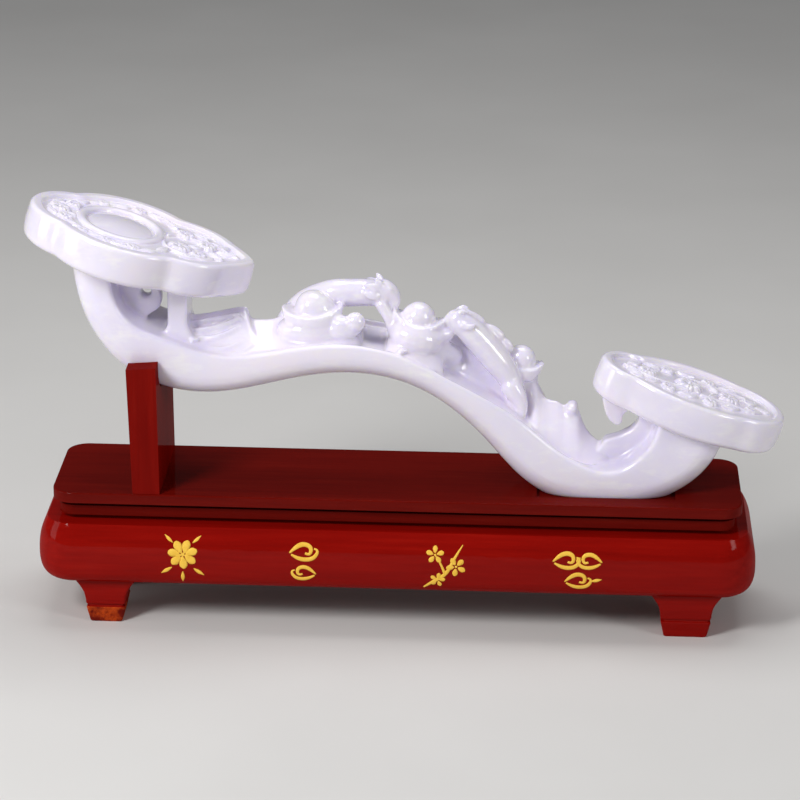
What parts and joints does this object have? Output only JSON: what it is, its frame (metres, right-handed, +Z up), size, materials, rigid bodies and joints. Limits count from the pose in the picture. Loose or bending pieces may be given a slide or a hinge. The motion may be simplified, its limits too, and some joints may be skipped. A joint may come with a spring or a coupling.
{
  "type": "ruyi scepter",
  "caption": "Carved white stone ruyi scepter with a lobed head, a lobed tail and an arched handle with carved figures, lying on a red lacquered wooden stand with a cradle post.",
  "frame": {"origin": "on the floor under the middle of the bounding box", "axes": "+X along the scepter from its head to its tail, +Y to the back, +Z up"},
  "size_m": [0.4164, 0.0928, 0.2333],
  "materials": {
    "white_stone": "polished, faintly translucent white with a cool tint",
    "red_lacquer": "deep red-brown gloss lacquer over fine straight grain",
    "bare_wood": "plain sawn wood, out of sight under the board",
    "screw_steel": "plain zinc-plated steel"
  },
  "bodies": {
    "stand": {"top_board": "red_lacquer", "waist_front": "red_lacquer", "waist_right": "red_lacquer", "waist_back": "red_lacquer", "waist_left": "red_lacquer", "apron_front": "red_lacquer", "apron_right": "red_lacquer", "apron_back": "red_lacquer", "apron_left": "red_lacquer", "foot_front_left": "red_lacquer", "foot_back_left": "red_lacquer", "foot_front_right": "red_lacquer", "foot_back_right": "red_lacquer", "corner_block_left_front": "bare_wood", "corner_block_left_back": "bare_wood", "corner_block_right_front": "bare_wood", "corner_block_right_back": "bare_wood", "cradle_post": "red_lacquer", "post_screws": "screw_steel", "board_screws": "screw_steel"},
    "scepter": {"scepter_shaft": "white_stone", "head_plaque": "white_stone", "tail_plaque": "white_stone", "head_hook": "white_stone", "tail_hook": "white_stone", "head_strut": "white_stone", "ingot_1": "white_stone", "ingot_2": "white_stone", "ingot_3": "white_stone", "bead": "white_stone", "beast_1": "white_stone", "beast_2": "white_stone", "pointed_leaf": "white_stone", "ribbon_leaf": "white_stone"}
  },
  "joints": [
    {"name": "scepter_lift", "type": "slide", "parent": "stand", "child": "scepter", "axis": [0, 0, 1], "range_m": [0, 0.09]}
  ]
}
